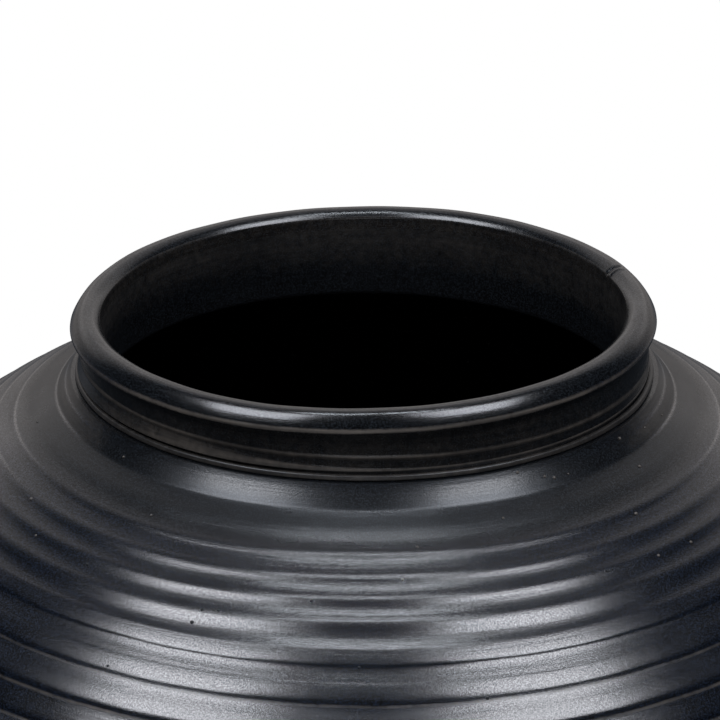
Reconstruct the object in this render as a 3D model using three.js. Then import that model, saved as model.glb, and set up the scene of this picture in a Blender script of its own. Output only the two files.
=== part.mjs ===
// Wheel-thrown vase with a satin black glaze: a squat round body with throwing rings, a short collar
// neck and a rolled lip. The body is thrown as two bowls that are luted together at the belly.
// Millimetres, +Z up. The origin is on the axis, in the plane that the foot ring stands on.
import * as THREE from 'three';

// Overall sizes
const HEIGHT = 250;
const BELLY_RADIUS = 143;
const BELLY_HEIGHT = 128;
const WALL = 6;
const LUTING_GAP = 0.3;

// Rolled lip: the crest leans to the inside, the outer face slants out to an overhanging lower edge
const LIP_BORE_FLARE = 1;
const LIP_CREST_INSET = 0.8;
const LIP_OVERHANG = 1.9;
const LIP_INNER_FALL = 1.5;
const LIP_OUTER_FALL = 0.9;
const LIP_FACE_RUN = 1.3;
const LIP_DEPTH = 4.7;
const LIP_EDGE_ROUND = 0.7;

// Neck collar
const NECK_RADIUS = 61;
const NECK_BORE_RADIUS = 56;
const NECK_DEPTH = 15.5;
const COLLAR_BEVEL = 0.6;
const RIDGE_DROP = 10.4;
const RIDGE_HEIGHT = 0.9;
const RIDGE_HALF_WIDTH = 0.5;
const FLARE_TOP_DROP = 12.1;
const FLARE_EDGE_DROP = 13.7;
const FLARE_OUT = 0.9;
const CREASE_WIDTH = 0.5;
const SPIGOT_THICKNESS = 2.8;
const SPIGOT_DEPTH = 5.2;

// Coils that seal the seams
const NECK_COIL_RADIUS = 0.65;
const BELLY_COIL_HALF_HEIGHT = 8;
const BELLY_COIL_DEPTH = 3.5;

// Shoulder: a hollow fillet below the neck, then one convex sweep to the belly
const SEAT_LIP = 0.5;
const FILLET_RUN = 13.2;
const FILLET_DROP = 9.6;
const FILLET_PULL = 7.5;
const SHOULDER_SLOPE = THREE.MathUtils.degToRad(28.8);
const SHOULDER_PULL = 48;
const BELLY_PULL_UP = 38;

// Lower wall, floor and foot
const BELLY_PULL_DOWN = 46;
const WALL_LEAN = THREE.MathUtils.degToRad(50);
const FOOT_PULL = 44;
const BELLY_BEVEL = 3;
const FLOOR = 8;
const FLOOR_TURN = 18;
const FLOOR_SWEEP = 60;
const FOOT_RADIUS = 80;
const FOOT_HEIGHT = 9;
const FOOT_WIDTH = 10;
const FOOT_TAPER = 1.2;
const FOOT_ROUND = 1.2;

// Throwing rings: close and shallow below the neck, wider and deeper further down the wall
const FIRST_PITCH = 5;
const PITCH_GAIN = 0.7;
const PITCH_LIMIT = 8.6;
const FIRST_GROOVE = 0.22;
const GROOVE_GAIN = 0.06;
const GROOVE_LIMIT = 0.5;
const BAND_SHOULDER = 0.3;
const TRIMMED_FOOT = 24;

// Facets
const SEGMENTS = 44;
const CURVE_STEPS = 3;
const WALL_STEPS = 8;

// Heights and radii worked out from the sizes above
const lipUnderside = HEIGHT - LIP_DEPTH;
const collarTop = lipUnderside - LUTING_GAP;
const seatHeight = HEIGHT - NECK_DEPTH;
const collarFoot = seatHeight + LUTING_GAP;
const lipEdge = NECK_RADIUS + LIP_OVERHANG;
const lipBore = NECK_BORE_RADIUS + LIP_BORE_FLARE;
const lipCrest = NECK_RADIUS - LIP_CREST_INSET;
const spigotRadius = NECK_BORE_RADIUS + SPIGOT_THICKNESS;
const mouthRadius = spigotRadius + LUTING_GAP;
const neckCoilRadius = NECK_RADIUS + LUTING_GAP + NECK_COIL_RADIUS;
const seatRadius = neckCoilRadius + NECK_COIL_RADIUS + SEAT_LIP;
const shoulderFoot = BELLY_HEIGHT + LUTING_GAP;

const blackGlaze = new THREE.MeshStandardMaterial({ color: 0x17181a, roughness: 0.38, metalness: 0 });
const bareClay = new THREE.MeshStandardMaterial({ color: 0x5b4a3f, roughness: 0.9, metalness: 0 });

// A piece turned on the wheel from its half section. The section runs up its outside and down its
// inside, and either closes on itself or starts and ends on the axis.
function turned(name, section, material) {
  const geometry = new THREE.LatheGeometry(section.getPoints(CURVE_STEPS), SEGMENTS);
  geometry.rotateX(Math.PI / 2);
  const mesh = new THREE.Mesh(geometry, material);
  mesh.name = name;
  return mesh;
}

// Outside of the shoulder from the belly seam up to the neck seat, without its rings
function shoulderCurve() {
  const seam = new THREE.Vector2(BELLY_RADIUS, shoulderFoot);
  const seamPull = new THREE.Vector2(BELLY_RADIUS, shoulderFoot + BELLY_PULL_UP);
  const fillet = new THREE.Vector2(seatRadius + FILLET_RUN, seatHeight - FILLET_DROP);
  const along = new THREE.Vector2(-Math.cos(SHOULDER_SLOPE), Math.sin(SHOULDER_SLOPE));
  const filletPull = fillet.clone().addScaledVector(along, -SHOULDER_PULL);
  const neckPull = fillet.clone().addScaledVector(along, FILLET_PULL);
  const curve = new THREE.CurvePath();
  curve.add(new THREE.CubicBezierCurve(seam, seamPull, filletPull, fillet));
  curve.add(new THREE.QuadraticBezierCurve(fillet, neckPull, new THREE.Vector2(seatRadius, seatHeight)));
  return curve;
}

// Outside of the lower wall from the foot up to the belly seam, without its rings
function lowerCurve() {
  const foot = new THREE.Vector2(FOOT_RADIUS, FOOT_HEIGHT);
  const lean = new THREE.Vector2(Math.cos(WALL_LEAN), Math.sin(WALL_LEAN));
  const footPull = foot.clone().addScaledVector(lean, FOOT_PULL);
  const seam = new THREE.Vector2(BELLY_RADIUS, BELLY_HEIGHT);
  const seamPull = new THREE.Vector2(BELLY_RADIUS, BELLY_HEIGHT - BELLY_PULL_DOWN);
  const curve = new THREE.CurvePath();
  curve.add(new THREE.CubicBezierCurve(foot, footPull, seamPull, seam));
  return curve;
}

// Point at a distance along an upward wall curve, set in square to the wall by a depth
function inset(curve, distance, depth) {
  const share = distance / curve.getLength();
  const along = curve.getTangent(share);
  const inward = new THREE.Vector2(-along.y, along.x);
  return curve.getPoint(share).addScaledVector(inward, depth);
}

// Grooves between the throwing rings, as distances down the wall from its upper end
function grooves(from, to, firstPitch, firstDepth) {
  const marks = [];
  let pitch = firstPitch;
  let depth = firstDepth;
  for (let drop = from; drop < to; drop += pitch) {
    if (marks.length > 0) pitch = Math.min(pitch + PITCH_GAIN, PITCH_LIMIT);
    marks.push({ drop, depth });
    depth = Math.min(depth + GROOVE_GAIN, GROOVE_LIMIT);
  }
  return marks;
}

// Ringed outside of a wall, upward: each ring is a flat-topped band between two grooves
function ringedWall(curve, marks) {
  const length = curve.getLength();
  const points = [];
  for (let i = marks.length - 1; i >= 0; i -= 1) {
    points.push(inset(curve, length - marks[i].drop, marks[i].depth));
    if (i > 0) {
      const pitch = marks[i].drop - marks[i - 1].drop;
      points.push(inset(curve, length - marks[i].drop + pitch * BAND_SHOULDER, 0));
      points.push(inset(curve, length - marks[i - 1].drop - pitch * BAND_SHOULDER, 0));
    }
  }
  return points;
}

// Inside of a wall, downward between two distances along its curve
function innerWall(curve, from, to) {
  const points = [];
  for (let i = 0; i <= WALL_STEPS; i += 1) {
    points.push(inset(curve, THREE.MathUtils.lerp(from, to, i / WALL_STEPS), WALL));
  }
  return points;
}

function footRing() {
  const top = FOOT_HEIGHT - LUTING_GAP;
  const outer = FOOT_RADIUS - FOOT_TAPER;
  const inner = FOOT_RADIUS - FOOT_WIDTH;
  const section = new THREE.Path();
  section.moveTo(inner + FOOT_TAPER + FOOT_ROUND, 0);
  section.lineTo(outer - FOOT_ROUND, 0);
  section.quadraticCurveTo(outer, 0, outer, FOOT_ROUND);
  section.lineTo(FOOT_RADIUS, top);
  section.lineTo(inner, top);
  section.lineTo(inner + FOOT_TAPER, FOOT_ROUND);
  section.quadraticCurveTo(inner + FOOT_TAPER, 0, inner + FOOT_TAPER + FOOT_ROUND, 0);
  return turned('foot_ring', section, bareClay);
}

function lowerBowl(curve) {
  const length = curve.getLength();
  const floorTop = FOOT_HEIGHT + FLOOR;
  const marks = grooves(PITCH_LIMIT / 2, length - TRIMMED_FOOT, PITCH_LIMIT, GROOVE_LIMIT);
  const inside = innerWall(curve, length - BELLY_COIL_HALF_HEIGHT, FLOOR_TURN);
  const section = new THREE.Path();
  section.moveTo(0, FOOT_HEIGHT);
  section.lineTo(FOOT_RADIUS, FOOT_HEIGHT);
  ringedWall(curve, marks).forEach((point) => section.lineTo(point.x, point.y));
  section.lineTo(BELLY_RADIUS, BELLY_HEIGHT);
  section.lineTo(BELLY_RADIUS - WALL, BELLY_HEIGHT + BELLY_BEVEL);
  section.lineTo(BELLY_RADIUS - WALL, BELLY_HEIGHT);
  inside.forEach((point) => section.lineTo(point.x, point.y));
  section.quadraticCurveTo(FLOOR_SWEEP, floorTop, 0, floorTop);
  return turned('lower_bowl', section, blackGlaze);
}

function shoulderBowl(curve) {
  const length = curve.getLength();
  const firstRing = new THREE.Vector2(FILLET_RUN, FILLET_DROP).length();
  const marks = grooves(firstRing, length - PITCH_LIMIT / 2, FIRST_PITCH, FIRST_GROOVE);
  const inside = innerWall(curve, length, BELLY_COIL_HALF_HEIGHT);
  const section = new THREE.Path();
  section.moveTo(BELLY_RADIUS, shoulderFoot);
  ringedWall(curve, marks).forEach((point) => section.lineTo(point.x, point.y));
  section.lineTo(seatRadius, seatHeight);
  section.lineTo(mouthRadius, seatHeight);
  inside.forEach((point) => section.lineTo(Math.max(point.x, mouthRadius), point.y));
  section.lineTo(BELLY_RADIUS - WALL, shoulderFoot + BELLY_BEVEL);
  section.closePath();
  return turned('shoulder_bowl', section, blackGlaze);
}

// Coil pressed over the inside of the belly seam
function bellySeamCoil(lower, shoulder) {
  const depth = WALL + LUTING_GAP;
  const foot = inset(lower, lower.getLength() - BELLY_COIL_HALF_HEIGHT, depth);
  const head = inset(shoulder, BELLY_COIL_HALF_HEIGHT, depth);
  const crest = BELLY_RADIUS - depth - 2 * BELLY_COIL_DEPTH;
  const section = new THREE.Path();
  section.moveTo(foot.x, foot.y);
  section.lineTo(BELLY_RADIUS - depth, BELLY_HEIGHT);
  section.lineTo(head.x, head.y);
  section.quadraticCurveTo(crest, BELLY_HEIGHT, foot.x, foot.y);
  return turned('belly_seam_coil', section, blackGlaze);
}

// Thin bead in the corner between the neck and the shoulder
function neckSeamCoil() {
  const section = new THREE.Path();
  const height = seatHeight + LUTING_GAP + NECK_COIL_RADIUS;
  section.absarc(neckCoilRadius, height, NECK_COIL_RADIUS, 0, 2 * Math.PI);
  return turned('neck_seam_coil', section, blackGlaze);
}

// Collar with a spigot that enters the shoulder's mouth, a flared foot and one fine ridge
function neckCollar() {
  const flareEdge = HEIGHT - FLARE_EDGE_DROP;
  const ridge = HEIGHT - RIDGE_DROP;
  const section = new THREE.Path();
  section.moveTo(NECK_BORE_RADIUS, collarFoot - SPIGOT_DEPTH);
  section.lineTo(spigotRadius, collarFoot - SPIGOT_DEPTH);
  section.lineTo(spigotRadius, collarFoot);
  section.lineTo(NECK_RADIUS, collarFoot);
  section.lineTo(NECK_RADIUS, flareEdge - CREASE_WIDTH);
  section.lineTo(NECK_RADIUS + FLARE_OUT, flareEdge);
  section.lineTo(NECK_RADIUS, HEIGHT - FLARE_TOP_DROP);
  section.lineTo(NECK_RADIUS, ridge - RIDGE_HALF_WIDTH);
  section.lineTo(NECK_RADIUS + RIDGE_HEIGHT, ridge);
  section.lineTo(NECK_RADIUS, ridge + RIDGE_HALF_WIDTH);
  section.lineTo(NECK_RADIUS, collarTop);
  section.lineTo(NECK_BORE_RADIUS, collarTop + COLLAR_BEVEL);
  section.closePath();
  return turned('neck_collar', section, blackGlaze);
}

function rimRoll() {
  const bevelTop = lipUnderside + COLLAR_BEVEL;
  const faceTop = HEIGHT - LIP_OUTER_FALL;
  const section = new THREE.Path();
  section.moveTo(NECK_BORE_RADIUS, bevelTop);
  section.lineTo(NECK_RADIUS, lipUnderside);
  section.lineTo(lipEdge - LIP_EDGE_ROUND, lipUnderside);
  section.quadraticCurveTo(lipEdge, lipUnderside, lipEdge, lipUnderside + LIP_EDGE_ROUND);
  section.lineTo(lipEdge - LIP_FACE_RUN, faceTop);
  section.quadraticCurveTo(lipEdge - LIP_FACE_RUN, HEIGHT, lipCrest, HEIGHT);
  section.quadraticCurveTo(lipBore, HEIGHT, lipBore, HEIGHT - LIP_INNER_FALL);
  section.closePath();
  return turned('rim_roll', section, blackGlaze);
}

const lower = lowerCurve();
const shoulder = shoulderCurve();
const vase = new THREE.Group();
vase.add(footRing());
vase.add(lowerBowl(lower));
vase.add(bellySeamCoil(lower, shoulder));
vase.add(shoulderBowl(shoulder));
vase.add(neckSeamCoil());
vase.add(neckCollar());
vase.add(rimRoll());

export default vase;
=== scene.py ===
import bpy
import numpy as np
from mathutils import Matrix


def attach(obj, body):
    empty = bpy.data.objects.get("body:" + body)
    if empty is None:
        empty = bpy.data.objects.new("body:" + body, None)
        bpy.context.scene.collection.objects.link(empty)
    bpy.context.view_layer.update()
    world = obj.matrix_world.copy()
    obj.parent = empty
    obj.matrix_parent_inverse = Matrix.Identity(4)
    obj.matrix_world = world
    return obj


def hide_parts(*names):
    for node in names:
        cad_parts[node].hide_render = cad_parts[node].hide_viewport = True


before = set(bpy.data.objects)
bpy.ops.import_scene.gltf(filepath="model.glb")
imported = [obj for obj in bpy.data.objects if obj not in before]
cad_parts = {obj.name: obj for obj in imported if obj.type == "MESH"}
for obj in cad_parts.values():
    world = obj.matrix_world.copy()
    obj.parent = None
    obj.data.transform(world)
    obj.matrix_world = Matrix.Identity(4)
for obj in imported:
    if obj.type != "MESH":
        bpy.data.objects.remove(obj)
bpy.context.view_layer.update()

# Foot ring: a turned ring of bare stoneware luted under the floor. It was trimmed with a loop
# tool on the wheel and wiped clean of glaze, so that the vase doesn't stick to the kiln shelf.
MM = 0.001
SHARP_EDGE = np.radians(50.0)
FOOT_OUTER = 80.0
FOOT_INNER = 70.0
FOOT_TOP = 9.0
FOOT_TAPER = 1.2
FOOT_ROUND = 1.2
FOOT_TURNS = 240
TOOL_LINE_DEPTH = 0.12
TOOL_LINE_PITCH = 1.6
TOOL_LINE_STOP = 0.3
CLAY_GRIT_PER_M = 1800.0
CLAY_CLOUDS_PER_M = 90.0
CLAY_DARK = "4a3a30"
CLAY_LIGHT = "6b5747"
CLAY_SPECK = "2e241e"


def bezier(*points, count=16):
    """Bezier curve through its end points and pulled by the ones between, by repeated halving of
    the control points at each share t from 0 to 1; rows of (radius, height)."""
    t = np.linspace(0.0, 1.0, count)[:, None]
    layer = [np.array(point, float)[None, :] for point in points]
    while len(layer) > 1:
        layer = [a + (b - a) * t for a, b in zip(layer, layer[1:])]
    return layer[0]


def even_turns(count):
    """Turns from the front, in radians: 2 pi k / count for k from 0 to count - 1."""
    return np.linspace(0.0, 2.0 * np.pi, count, endpoint=False)


def turned(name, radius, height, turn=None, poles=False, **marks):
    """Mesh of a piece turned on the wheel. Point (i, j) is at radius r(i, j) and height z(i, j), in
    millimetres, at the turn a(j) from the front: (r sin a, -r cos a, z), with even turns if none are
    given. Rows run up the outside and down the inside, then close on the first row, or start and end
    in single points on the axis. Marks are values of the points, kept as attributes for the material."""
    rows, turns = radius.shape
    a = even_turns(turns) if turn is None else turn
    points = np.stack([radius * np.sin(a), -radius * np.cos(a), height], axis=2).reshape(-1, 3) * MM
    j = np.arange(turns)
    i = np.arange(rows - 1 if poles else rows)[:, None]
    above = (i + 1) % rows
    beside = (j + 1) % turns
    corners = [i * turns + j, i * turns + beside, above * turns + beside, above * turns + j]
    faces = np.stack(corners, axis=2).reshape(-1, 4).tolist()
    values = {key: np.broadcast_to(value, radius.shape).reshape(-1) for key, value in marks.items()}
    if poles:
        last = len(points)
        ends = np.array([[0.0, 0.0, height[0].mean() * MM], [0.0, 0.0, height[-1].mean() * MM]])
        points = np.vstack([points, ends])
        low = np.stack([np.full(turns, last), beside, j], axis=1)
        top = (rows - 1) * turns
        high = np.stack([np.full(turns, last + 1), top + j, top + beside], axis=1)
        faces += low.tolist() + high.tolist()
        values = {key: np.append(value, value[[0, -1]]) for key, value in values.items()}
    mesh = bpy.data.meshes.new(name)
    mesh.from_pydata(points, [], faces)
    mesh.shade_smooth()
    mesh.set_sharp_from_angle(angle=SHARP_EDGE)
    for key, value in values.items():
        mark(mesh, key, value)
    piece = bpy.data.objects.new(name, mesh)
    bpy.context.scene.collection.objects.link(piece)
    return piece


def mark(mesh, key, value):
    """Keeps one number for each point of a mesh, under a name that a material can read."""
    attribute = mesh.attributes.new(key, "FLOAT", "POINT")
    attribute.data.foreach_set("value", value.astype(np.float32))


def straight(section, turns):
    """Radius and height grids of a section that is the same at every turn."""
    return np.repeat(section[:, :1], turns, axis=1), np.repeat(section[:, 1:], turns, axis=1)


def linear(code):
    """Linear colour of an sRGB hex value such as '5b4a3f', with alpha 1."""
    srgb = np.array([int(code[k:k + 2], 16) for k in (0, 2, 4)]) / 255.0
    light = np.where(srgb <= 0.04045, srgb / 12.92, ((srgb + 0.055) / 1.055) ** 2.4)
    return (*light.tolist(), 1.0)


def fill(owner, target, inputs):
    """Sets a node's inputs. Each is a value, an output socket, or a node whose first output is taken."""
    for key, value in inputs.items():
        if isinstance(value, bpy.types.Node):
            value = next(socket for socket in value.outputs if socket.enabled)
        if isinstance(value, bpy.types.NodeSocket):
            owner.node_tree.links.new(value, target.inputs[key])
        else:
            target.inputs[key].default_value = value


def node(owner, kind, inputs=None, **settings):
    """Adds a node to a material or world, with its settings and inputs."""
    added = owner.node_tree.nodes.new(kind)
    for key, value in settings.items():
        setattr(added, key, value)
    fill(owner, added, inputs or {})
    return added


def new_material(name):
    """A node material with only its output and a Principled shader."""
    material = bpy.data.materials.new(name)
    material.use_nodes = True
    shader = material.node_tree.nodes["Principled BSDF"]
    return material, shader


# Dark iron-bearing stoneware, fired unglazed: matt and brown, clouded between two tones, with dark
# grit of about half a millimetre that also roughens its surface.
stoneware, shader = new_material("unglazed_stoneware")
place = node(stoneware, "ShaderNodeTexCoord").outputs["Object"]
grit = node(stoneware, "ShaderNodeTexNoise", {"Vector": place, "Scale": CLAY_GRIT_PER_M, "Detail": 3.0})
cloud = node(stoneware, "ShaderNodeTexNoise", {"Vector": place, "Scale": CLAY_CLOUDS_PER_M, "Detail": 2.0})
body_tone = node(stoneware, "ShaderNodeMix", {
    "Factor": cloud,
    "A": linear(CLAY_DARK),
    "B": linear(CLAY_LIGHT),
}, data_type="RGBA")
speck = node(stoneware, "ShaderNodeMapRange", {"Value": grit, "From Min": 0.56, "From Max": 0.68})
speckled = node(stoneware, "ShaderNodeMix", {
    "Factor": speck,
    "A": body_tone,
    "B": linear(CLAY_SPECK),
}, data_type="RGBA")
rub = node(stoneware, "ShaderNodeBump", {"Height": grit, "Strength": 0.5, "Distance": 0.1 * MM})
fill(stoneware, shader, {"Base Color": speckled, "Normal": rub, "Roughness": 0.88, "IOR": 1.5})

foot_low_outer = FOOT_OUTER - FOOT_TAPER
foot_low_inner = FOOT_INNER + FOOT_TAPER
stand_outer = [foot_low_outer - FOOT_ROUND, 0.0]
stand_inner = [foot_low_inner + FOOT_ROUND, 0.0]
foot_section = np.vstack([
    np.linspace(stand_inner, stand_outer, 12),
    bezier(stand_outer, [foot_low_outer, 0.0], [foot_low_outer, FOOT_ROUND], count=7)[1:],
    np.linspace([foot_low_outer, FOOT_ROUND], [FOOT_OUTER, FOOT_TOP], 40)[1:],
    np.linspace([FOOT_OUTER, FOOT_TOP], [FOOT_INNER, FOOT_TOP], 12)[1:],
    np.linspace([FOOT_INNER, FOOT_TOP], [foot_low_inner, FOOT_ROUND], 24)[1:],
    bezier([foot_low_inner, FOOT_ROUND], [foot_low_inner, 0.0], stand_inner, count=7)[1:-1],
])
on_side = (foot_section[:, 1] > FOOT_ROUND) & (foot_section[:, 1] < FOOT_TOP - TOOL_LINE_STOP)
tool_wave = 0.5 - 0.5 * np.cos(2.0 * np.pi * foot_section[:, 1] / TOOL_LINE_PITCH)
tool_line = np.where(on_side, tool_wave, 0.0)
outside = foot_section[:, 0] > 0.5 * (FOOT_OUTER + FOOT_INNER)
foot_section[:, 0] += np.where(outside, -1.0, 1.0) * TOOL_LINE_DEPTH * tool_line
foot_ring = turned("turned_foot_ring", *straight(foot_section, FOOT_TURNS))
foot_ring.data.materials.append(stoneware)
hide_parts("foot_ring")
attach(foot_ring, "root")

# Lower bowl: the lower half of the body, thrown with its floor and trimmed near the foot. Finger
# rings run up its outside, and the whole of it but the foot is dipped in black glaze.
BELLY_RADIUS = 143.0
SEAM_HEIGHT = 128.15
SEAM_BEVEL = 3.0
WALL = 6.0
WALL_LEAN = np.radians(50.0)
FOOT_PULL = 44.0
BELLY_PULL_DOWN = 46.0
FLOOR_TOP = 17.0
FLOOR_TURN = 13.0
FLOOR_SWEEP = 62.0
AXIS_GAP = 2.0
TRIMMED_RUN = 26.0
LOWER_TURNS = 288
LOWER_RINGS = 16
FIRST_LOWER_RING = 4.5
RING_PITCH = 8.2
RING_BEND = (
    (-4.0, 1.0), (-2.4, 3.0), (-1.4, 8.0), (-0.6, 17.0), (0.0, 24.0),
    (0.5, 17.0), (1.1, 8.0), (2.0, 3.0), (3.2, 1.0),
)
RELIEF_STEP = 0.05
RELIEF_SOFTEN = 5
LOWER_DULL = 0.22
LOWER_SKIN = 0.6
LOWER_EDGE_THIN = 0.1
EDGE_LEAST_STEP = 0.05
EDGE_SHARPEST = 4.0
GRAIN_MM = 0.32
STREAK_MM = 0.7
STREAKS_PER_M = 45.0
MOTTLE_MM = 9.0
RAGGED_MM = 1.6
GLAZE_BLACK = "030304"
GLAZE_GRAIN = "1c2127"
GLAZE_RING_GRAIN = "151f30"
GLAZE_THIN_AND_PAINTED_LIGHT = "57534f"
GLAZE_SHEEN = "dee8f5"
CLOUD_ROUGHNESS = 0.12
THIN_ROUGHNESS = 0.22
COAT_ROUGHNESS = 0.22
COAT_IOR = 1.617


def run_along(section):
    """Distance along a section from its first point: the running sum of its chords."""
    chords = np.hypot(*np.diff(section, axis=0).T)
    return np.concatenate([[0.0], np.cumsum(chords)])


def respaced(section, count):
    """The same section with its points an equal distance apart."""
    run = run_along(section)
    even = np.linspace(0.0, run[-1], count)
    return np.column_stack([np.interp(even, run, section[:, 0]), np.interp(even, run, section[:, 1])])


def ramp(value, start, run):
    """Share from 0 to 1: (value - start) / run, held at 0 before the start and at 1 past the run."""
    return np.clip((value - start) / run, 0.0, 1.0)


def ring_bends(places):
    """Bends of rings that are all alike, one ring at each place."""
    return [(at + off, degrees) for at in places for off, degrees in RING_BEND]


def rings(run, bends, levels):
    """Height of the finger rings, square to the wall, at distances down it in millimetres. Bends are
    (distance, degrees): how much steeper than the plain curve the wall runs there, and it changes evenly
    between them. Summing that along the wall gives the relief, which is then brought back to the plain
    curve at each of the levels, the middles of the bands."""
    fine = np.arange(0.0, run.max() + 4.0, RELIEF_STEP)
    places, degrees = np.array(bends).T
    soften = np.full(RELIEF_SOFTEN, 1.0 / RELIEF_SOFTEN)
    steep = np.convolve(np.interp(fine, places, degrees), soften, mode="same")
    relief = -np.cumsum(np.tan(np.radians(steep))) * RELIEF_STEP
    return np.interp(run, fine, relief - np.interp(fine, levels, np.interp(levels, fine, relief)))


def square_to(section):
    """Unit vectors square to a section, on the left of its direction."""
    along = np.gradient(section, axis=0)
    along /= np.hypot(along[:, 0], along[:, 1])[:, None]
    return np.column_stack([-along[:, 1], along[:, 0]])


def edges_of(section):
    """How sharply a closed section turns outwards, in radians per millimetre, where glaze draws thin:
    the angle between the chords before and after each point, over their mean length."""
    ahead = np.roll(section, -1, axis=0) - section
    behind = section - np.roll(section, 1, axis=0)
    turn = behind[:, 0] * ahead[:, 1] - behind[:, 1] * ahead[:, 0]
    turn = np.arctan2(turn, (behind * ahead).sum(axis=1))
    step = 0.5 * (np.hypot(*ahead.T) + np.hypot(*behind.T))
    return np.clip(turn / np.maximum(step, EDGE_LEAST_STEP), 0.0, EDGE_SHARPEST)


# Black iron glaze on stoneware, fired to a satin sheen: almost black, with fine paler grains, which are
# drawn coarser than real ones so that they show. Its smooth skin mirrors the lamps softly, and the glaze
# under the skin scatters a faint haze, bluest on the rings. On edges it draws thin, and the clay shows
# through matt and grey-brown. The same grey-brown is also used as painted light: it lightens the neck in
# the lip's shade, the top of the bore, and the top of the cove on the flanks. Faint streaks follow the
# turning. Marks on each piece steer it: wall_run is the distance along the section, the thinness mark
# holds both the thin glaze and that painted light, dull the roughness, and skin the smooth skin.
glaze, shader = new_material("black_iron_glaze")
place = node(glaze, "ShaderNodeTexCoord").outputs["Object"]
wall_run = node(glaze, "ShaderNodeAttribute", attribute_name="wall_run").outputs["Fac"]
thin_edge = node(glaze, "ShaderNodeAttribute", attribute_name="thin_edge").outputs["Fac"]
dull = node(glaze, "ShaderNodeAttribute", attribute_name="dull").outputs["Fac"]
skin = node(glaze, "ShaderNodeAttribute", attribute_name="skin").outputs["Fac"]
axes = node(glaze, "ShaderNodeSeparateXYZ", {"Vector": place})
around = node(glaze, "ShaderNodeCombineXYZ", {"X": axes.outputs["X"], "Y": axes.outputs["Y"], "Z": wall_run})
drawn_out = node(glaze, "ShaderNodeMapping", {
    "Vector": around,
    "Scale": (STREAKS_PER_M, STREAKS_PER_M, 1.0 / STREAK_MM),
})
streak = node(glaze, "ShaderNodeTexNoise", {"Vector": drawn_out, "Scale": 1.0, "Detail": 3.0})
grain = node(glaze, "ShaderNodeTexNoise", {"Vector": place, "Scale": 1.0 / (GRAIN_MM * MM), "Detail": 1.0})
mottle = node(glaze, "ShaderNodeTexNoise", {"Vector": place, "Scale": 1.0 / (MOTTLE_MM * MM), "Detail": 3.0})
ragged = node(glaze, "ShaderNodeTexNoise", {"Vector": place, "Scale": 1.0 / (RAGGED_MM * MM), "Detail": 2.0})
fray = node(glaze, "ShaderNodeMath", {0: ragged, 1: 1.2, 2: 0.4}, operation="MULTIPLY_ADD")
frayed = node(glaze, "ShaderNodeMath", {0: thin_edge, 1: fray}, operation="MULTIPLY")
thin = node(glaze, "ShaderNodeMapRange", {"Value": frayed, "From Min": 0.15, "From Max": 1.0})
worn = node(glaze, "ShaderNodeMapRange", {"Value": mottle, "From Min": 0.3, "From Max": 0.6, "To Min": 0.6})
rubbed = node(glaze, "ShaderNodeMapRange", {"Value": streak, "From Min": 0.3, "From Max": 0.7, "To Min": 0.5})
patchy = node(glaze, "ShaderNodeMath", {0: worn, 1: rubbed}, operation="MULTIPLY")
clay_and_painted_light = node(glaze, "ShaderNodeMath", {0: thin, 1: patchy}, operation="MULTIPLY")
on_rings = node(glaze, "ShaderNodeMapRange", {"Value": skin, "From Min": 0.3, "From Max": 0.6})
haze = node(glaze, "ShaderNodeMix", {
    "Factor": on_rings,
    "A": linear(GLAZE_GRAIN),
    "B": linear(GLAZE_RING_GRAIN),
}, data_type="RGBA")
grains = node(glaze, "ShaderNodeMapRange", {"Value": grain, "From Min": 0.44, "From Max": 0.70})
black = node(glaze, "ShaderNodeMix", {"Factor": grains, "A": linear(GLAZE_BLACK), "B": haze}, data_type="RGBA")
# The grey-brown mixed in here is thin glaze on edges and, in shaded places, painted light.
tone = node(glaze, "ShaderNodeMix", {"Factor": clay_and_painted_light, "A": black, "B": linear(GLAZE_THIN_AND_PAINTED_LIGHT)}, data_type="RGBA")
clouded = node(glaze, "ShaderNodeMath", {
    0: mottle,
    1: CLOUD_ROUGHNESS,
    2: -0.5 * CLOUD_ROUGHNESS,
}, operation="MULTIPLY_ADD")
satin = node(glaze, "ShaderNodeMath", {0: dull, 1: clouded}, operation="ADD")
matt = node(glaze, "ShaderNodeMath", {0: thin, 1: THIN_ROUGHNESS, 2: satin}, operation="MULTIPLY_ADD")
whole = node(glaze, "ShaderNodeMath", {0: 1.0, 1: thin}, operation="SUBTRACT")
skinned = node(glaze, "ShaderNodeMath", {0: whole, 1: skin}, operation="MULTIPLY")
glassy = node(glaze, "ShaderNodeMapRange", {
    "Value": grain,
    "From Min": 0.24,
    "From Max": 0.76,
    "To Min": 0.3,
    "To Max": 1.7,
})
coat = node(glaze, "ShaderNodeMath", {0: skinned, 1: glassy}, operation="MULTIPLY")
pulled = node(glaze, "ShaderNodeBump", {"Height": streak, "Strength": 0.45, "Distance": 0.05 * MM})
rough = node(glaze, "ShaderNodeBump", {
    "Height": grain,
    "Normal": pulled,
    "Strength": 0.5,
    "Distance": 0.03 * MM,
})
fill(glaze, shader, {
    "Base Color": tone,
    "Roughness": matt,
    "Normal": rough,
    "IOR": 1.5,
    "Specular IOR Level": 0.5,
    "Specular Tint": linear(GLAZE_SHEEN),
    "Coat Weight": coat,
    "Coat Normal": rough,
    "Coat Roughness": COAT_ROUGHNESS,
    "Coat IOR": COAT_IOR,
})

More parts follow.
